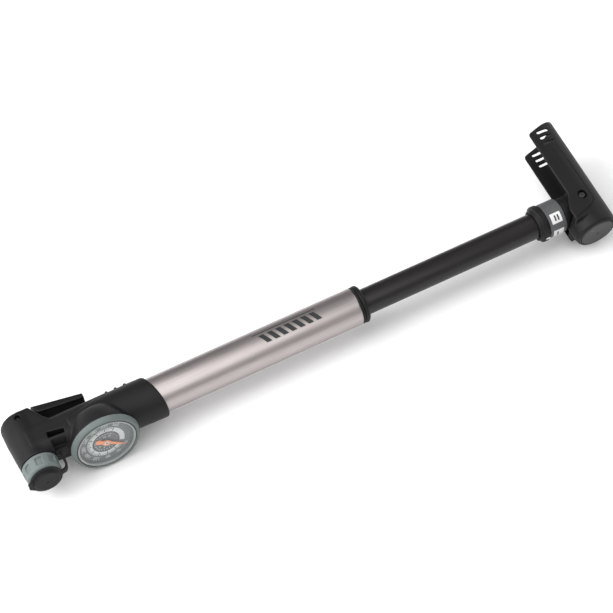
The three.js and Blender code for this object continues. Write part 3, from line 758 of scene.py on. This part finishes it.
def build_needle():
    outline = [(-6.9, 0.8), (-6.3, 1.45), (-4.6, 1.55), (-2.6, 1.1), (-1.5, 1.7), (0, 2.2), (1.5, 1.7),
               (2.8, 1.0), (9.5, 0.6), (11.9, 0.15)]
    ring = outline + [(along, -half) for along, half in reversed(outline)]
    turn = math.radians(ZERO_ANGLE)
    points = []
    for y, inset in ((-15.45, 0.0), (-15.7, 0.0), (-15.8, 0.12)):
        for along, half in ring:
            side = half - math.copysign(min(inset, abs(half)), half)
            points.append((GAUGE_X + along * math.cos(turn) + side * math.sin(turn), y,
                           -along * math.sin(turn) + side * math.cos(turn)))
    count = len(ring)
    faces = [list(range(count)), [2 * count + k for k in reversed(range(count))]]
    for level in range(2):
        for k in range(count):
            n = (k + 1) % count
            low, high = level * count, (level + 1) * count
            faces.append([low + k, low + n, high + n, high + k])
    blade = facing_out(new_piece("needle_blade", PUMP.world(points), faces))
    finish_piece(blade, "needle", ORANGE, "needle_orange", "gauge_needle")
    hub = [(-15.7, 0.5), (-15.7, 1.5), (-15.95, 1.4), (-16.1, 1.0), (-16.1, 0.5)]
    hub_cap = turned("needle_hub_cap", PUMP, "y", hub, GAUGE, 40, 0.1)
    finish_piece(hub_cap, "needle", HUB_PALE, "needle_orange")
    shaft = [(-16.15, 0), (-16.15, 0.48), (-9.8, 0.65), (-9.8, 1.2), (-8.4, 1.2), (-8.4, 0.7), (-7.5, 0.7),
             (-7.5, 0)]
    shaft_rod = turned("needle_shaft_rod", PUMP, "y", shaft, GAUGE, 32, 0.05)
    finish_piece(shaft_rod, "needle", INK_DARK, "brass_parts", "needle_shaft")


# ---- barrel ----------------------------------------------------------------------------------------------
def build_barrel():
    tube = [(-112, 9.8), (-112, 11), (31.0, 11), (31.5, 10.7), (31.5, 9.8)]
    skin = turned("barrel_tube_skin", PUMP, "x", tube, sides=128)
    finish_piece(skin, "head", SILVER, "silver_barrel", "barrel_tube")
    ring = [(31.8, 9.8), (31.8, 10.7), (32.4, 11.1), (33.0, 10.7), (33.0, 9.8)]
    seal = turned("end_cap_seal", PUMP, "x", ring, corner=0.3)
    finish_piece(seal, "head", RUBBER, "black_rubber", "end_cap_oring")
    cap = [(22, 8), (22, 9.5), (33.3, 9.5), (33.3, 10.8), (33.6, 11.1), (35.2, 11.1), (36.1, 10.2),
           (36.3, 9.4), (36.3, 8.3), (36.0, 8)]
    collar = turned("barrel_end_collar", PUMP, "x", cap)
    finish_piece(collar, "head", BLACK, "black_plastic", "barrel_end_cap")
    barrel_mark()


def barrel_mark():
    """A plain hatch of slanted bars printed on the barrel, wrapped round it."""
    radius = 11.03
    points, faces = [], []
    middle = math.radians(104)

    def bar(start, length, low, high, slant):
        base = len(points)
        steps = 6
        for k in range(steps + 1):
            across = low + (high - low) * k / steps
            angle = middle + across / radius
            for x in (start + across * slant, start + length + across * slant):
                for r in (radius - 0.02, radius + 0.03):
                    points.append((x, r * math.cos(angle), r * math.sin(angle)))
        for k in range(steps):
            a, b = base + 4 * k, base + 4 * k + 4
            faces.extend([[a + 1, a + 3, b + 3, b + 1], [a, b, b + 2, a + 2], [a, a + 1, b + 1, b],
                          [a + 2, b + 2, b + 3, a + 3]])
        last = base + 4 * steps
        faces.extend([[base, base + 2, base + 3, base + 1], [last, last + 1, last + 3, last + 2]])

    for k in range(7):
        bar(-27 + 5.2 * k, 3.1, -2.9, 2.9, 0.55)
    bar(-29, 39, -5.0, -4.5, 0.55)
    mark = facing_out(new_piece("barrel_hatch_mark", PUMP.world(points), faces))
    finish_piece(mark, "head", INK_DARK, "silver_barrel")


# ---- rod and selector ------------------------------------------------------------------------------------
def build_rod():
    tube = [(14.3, 6.2), (14.3, 7.7), (163, 7.7), (163, 6.2)]
    skin = turned("rod_tube_skin", ROD, "x", tube)
    finish_piece(skin, "rod", ANODISED, "black_anodised", "rod_tube")
    base = [(148, 7.95), (148, 8.9), (148.3, 9.3), (149.4, 9.6), (149.9, 10.6), (150.3, 11.0), (153.0, 11.0),
            (153.6, 10.5), (154.0, 10.2), (154.0, 7.95)]
    base_ring = turned("selector_base_ring", ROD, "x", base)
    finish_piece(base_ring, "rod", BLACK, "black_plastic", "selector_base")
    collar = field_mesh("selector_collar_ring", ROD, collar_field,
                        (154.2, -10.5, -10.5), (165.1, 10.5, 10.5), 0.35)
    finish_piece(collar, "selector", COLLAR_GREY, "collar_grey", "selector_collar")
    label_plate("label_plate_low", 180, 6.2, 1)
    label_plate("label_plate_high", 120, 6.2, 2)
    curved_plate("selector_index_mark", ROD, 11.02, 0.05, (150.6, 153.2), 180, 1.6, "rod", WHITE_LABEL,
                 "black_plastic")


def collar_field(p):
    x, y, z = p
    radial = np.hypot(y, z)
    angle = np.arctan2(z, y)
    pitch = 2 * math.pi / 18
    turn = (angle + pitch / 2) % pitch - pitch / 2
    facet = radial * np.cos(turn) - 10.22
    body = smooth_max(smooth_max(radial - 10.4, facet, 0.15), span(x, 154.3, 165), 0.6)
    return cut(body, radial - 7.95)


def curved_plate(name, place, radius, thick, x_span, centre_degrees, width, body, material, slot):
    """A thin plate that wraps round the axis; degrees turn from the arm's direction towards the fold axis."""
    points, faces = [], []
    steps = 10
    middle = math.radians(centre_degrees)
    half = width / 2 / radius
    for k in range(steps + 1):
        angle = middle - half + 2 * half * k / steps
        for x in x_span:
            for r in (radius, radius + thick):
                points.append((x, r * math.cos(angle), r * math.sin(angle)))
    for k in range(steps):
        a, b = 4 * k, 4 * k + 4
        faces.extend([[a + 1, a + 3, b + 3, b + 1], [a, b, b + 2, a + 2], [a, a + 1, b + 1, b],
                      [a + 2, b + 2, b + 3, a + 3]])
    last = 4 * steps
    faces.extend([[0, 2, 3, 1], [last, last + 1, last + 3, last + 2]])
    plate = facing_out(new_piece(name, place.world(points), faces))
    return finish_piece(plate, body, material, slot)


def label_plate(name, degrees, width, bars):
    """A white label on the selector with a plain pictogram of one or two bars."""
    curved_plate(name, ROD, 10.3, 0.12, (156.0, 162.6), degrees, width, "selector", WHITE_LABEL,
                 "collar_grey")
    for k in range(bars):
        x = 158.2 + 1.9 * k
        curved_plate(f"{name}_bar_{k}", ROD, 10.42, 0.04, (x, x + 0.9), degrees, width * 0.55, "selector",
                     INK_DARK, "collar_grey")


# ---- handle ----------------------------------------------------------------------------------------------
WALL = 13.1                    # the handle's outer radius
BORE = 11.9                    # and its inner radius
SLOT_HEIGHTS = (48, 43.9, 39.8)   # along the arm, from the pivot
# the parting line, from the slots down and round under the pivot
CREASE = ((3.7, 39.2), (4.6, 24), (4.8, 2.9), (4.8, -3.6), (4.0, -5.6), (2.4, -7.4), (-1.4, -9.2),
          (-7.2, -11.0), (-13, -13.1))


def channel(x, z, radius):
    return np.where(x > 0, np.hypot(x, z), np.abs(z)) - radius


def handle_field(p):
    x, y, z = p
    side = ((-4.7, -9), (10.8, -9), (10.8, 51.9), (9, 51.45), (-4.7, 47.8))
    arm = smooth_max(channel(x, z, WALL), polygon(x, y, side) - 2.6, 0.8)
    butt_r = np.interp(y, (-20.6, -19.2, -15.5), (11.4, 12.6, WALL))
    butt = smooth_max(np.hypot(x, z) - butt_r, span(y, -20.6, -3), 0.5)
    cheek_side = ((-10.8, -12.5), (0, -12.5), (0, 5), (-6.3, 3.2), (-8.7, -1), (-10.8, -6))
    cheek = prism(p, "z", cheek_side, -WALL, WALL, 1.2, 1.0)
    outer = np.minimum(np.minimum(arm, butt), cheek)
    hollow = smooth_max(channel(x, z, BORE), -y, 0.1)
    hollow = np.minimum(hollow, np.sqrt(x * x + y * y + z * z) - 12)
    hollow = np.minimum(hollow, box(p, (-30, -9.6, -BORE), (0, 0.6, BORE), 0.2))
    body = cut(outer, hollow, 0.35)
    for height in SLOT_HEIGHTS:
        slot = np.hypot(np.maximum(np.abs(x - 1.2) - 2.85, 0), y - height) - 0.9
        body = cut(body, slot, 0.3)
    body = cut(body, crease_groove(x, y, z), 0.3)
    body = cut(body, np.hypot(x, y) - 2.8, 0.4)
    return cut(body, cylinder(p, "y", (0, 0, 0), 10.8, -30, -18.8, 0.3))


def crease_groove(x, y, z):
    """A shallow parting line on both walls, down from the slots and round under the pivot."""
    nearest = np.full(np.broadcast(x, y, z).shape, 99.0)
    for (ax, ay), (bx, by) in zip(CREASE, CREASE[1:]):
        dx, dy = bx - ax, by - ay
        t = np.clip(((x - ax) * dx + (y - ay) * dy) / (dx * dx + dy * dy), 0, 1)
        nearest = np.minimum(nearest, np.hypot(x - ax - t * dx, y - ay - t * dy))
    return np.maximum(nearest - 0.25, -channel(x, z, 12.75))


def build_handle():
    shell = field_mesh("handle_shell_skin", HANDLE, handle_field,
                       (-13.1, -20.6, -13.1), (13.1, 54.7, 13.1), 0.42)
    finish_piece(shell, "handle", BLACK, "black_plastic", "handle_shell")
    disc = [(-19.1, 0), (-19.1, 10.45), (-20.4, 10.45), (-20.85, 10.0), (-20.9, 9.2), (-20.9, 1.3),
            (-20.4, 0.6), (-20.3, 0)]
    end_disc = turned("handle_end_disc", HANDLE, "y", disc, corner=0.3)
    finish_piece(end_disc, "handle", DISC_GREY, "end_disc_grey", "handle_end_cap")
    knuckle = field_mesh("handle_knuckle_block", HANDLE, knuckle_field,
                         (-18.2, -11, -11.1), (11, 11, 11.1), 0.5)
    finish_piece(knuckle, "rod", BLACK, "black_plastic", "handle_knuckle")
    profile = [(-12.2, 0), (-12.2, 1.6), (-11.8, 2.0), (11.8, 2.0), (12.2, 1.6), (12.2, 0)]
    pin = turned("handle_pin_rod", HANDLE, "z", profile, sides=48)
    # the handle pin gets the near-black steel, painted shade of its recess
    finish_piece(pin, "rod", PIN_STEEL_SHADED, "steel_parts", "handle_pin")


def knuckle_field(p):
    x, y, z = p
    ball = np.sqrt(x * x + y * y + z * z) - 10.9
    drum = smooth_max(smooth_max(np.hypot(x, y) - 10.7, np.abs(z) - 11, 0.5), ball, 0.5)
    neck = cylinder(p, "x", (0, 0, 0), 9.2, -13.9, 0, 0.8)
    spigot = cylinder(p, "x", (0, 0, 0), 6.0, -18.1, 0, 0.4)
    body = smooth_min(smooth_min(drum, neck, 0.8), spigot, 0.3)
    return cut(body, np.hypot(x, y) - 2.3, 0.3)


# ---- carried-over CAD pieces -----------------------------------------------------------------------------
def dress(material, *nodes):
    for name in nodes:
        obj = frame["nodes"][name]
        obj.data.materials.clear()
        obj.data.materials.append(material)


def dress_inner_pieces():
    dress(RUBBER, "chuck_grommet", "check_valve_disc", "piston_oring")
    dress(NUT_GREY, "chuck_plunger", "barrel_base_plug", "piston")
    dress(BRASS, "chuck_washer", "sector_gear", "movement_plate", "bourdon_tube", "gauge_socket",
          "rod_guide_bush")
    dress(STEEL, "selector_stem", "selector_key")


# ---- studio ----------------------------------------------------------------------------------------------
def build_stage():
    floor_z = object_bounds()[0][2] - 0.0002
    half = 3.0
    points = [(-half, -half, floor_z), (half, -half, floor_z), (half, half, floor_z), (-half, half, floor_z)]
    floor = new_piece("floor", points, [[0, 1, 2, 3]])
    material, tree, surface = shader("floor_white", 0.9)
    surface.inputs["Base Color"].default_value = (0.93, 0.93, 0.93, 1)
    surface.inputs["Specular IOR Level"].default_value = 0.1
    bump(tree, surface, noise(tree, 400, 3), 0.00002)
    floor.data.materials.append(material)


def area_light(name, at, target, size, power):
    data = bpy.data.lights.new(name, "AREA")
    data.shape = "RECTANGLE"
    data.size, data.size_y = size
    data.energy = power
    lamp = bpy.data.objects.new(name, data)
    aim = Vector(target) - Vector(at)
    lamp.rotation_euler = aim.to_track_quat("-Z", "Y").to_euler()
    lamp.location = at
    bpy.context.collection.objects.link(lamp)


def build_lights():
    world = bpy.data.worlds.new("studio")
    world.use_nodes = True
    background = world.node_tree.nodes["Background"]
    background.inputs["Color"].default_value = (1, 1, 1, 1)
    background.inputs["Strength"].default_value = 0.3
    bpy.context.scene.world = world
    area_light("overhead_light", (-0.45, -0.22, 1.3), (0, 0, 0), (3.0, 1.4), 25)
    area_light("front_light", (-0.3, -1.45, 0.75), (0, 0, 0), (3.0, 1.3), 3)
    area_light("left_light", (-1.7, 0.3, 1.1), (0, 0, 0), (1.2, 2.0), 32)
    area_light("right_light", (1.7, 0.3, 1.1), (0, 0, 0), (1.2, 2.0), 12)
    bpy.context.scene.view_settings.view_transform = "Standard"


# ---- the scene -------------------------------------------------------------------------------------------
build_head()
build_lever()
build_nut()
build_cap()
build_gauge()
build_barrel()
build_rod()
build_handle()
dress_inner_pieces()
build_stage()
build_lights()
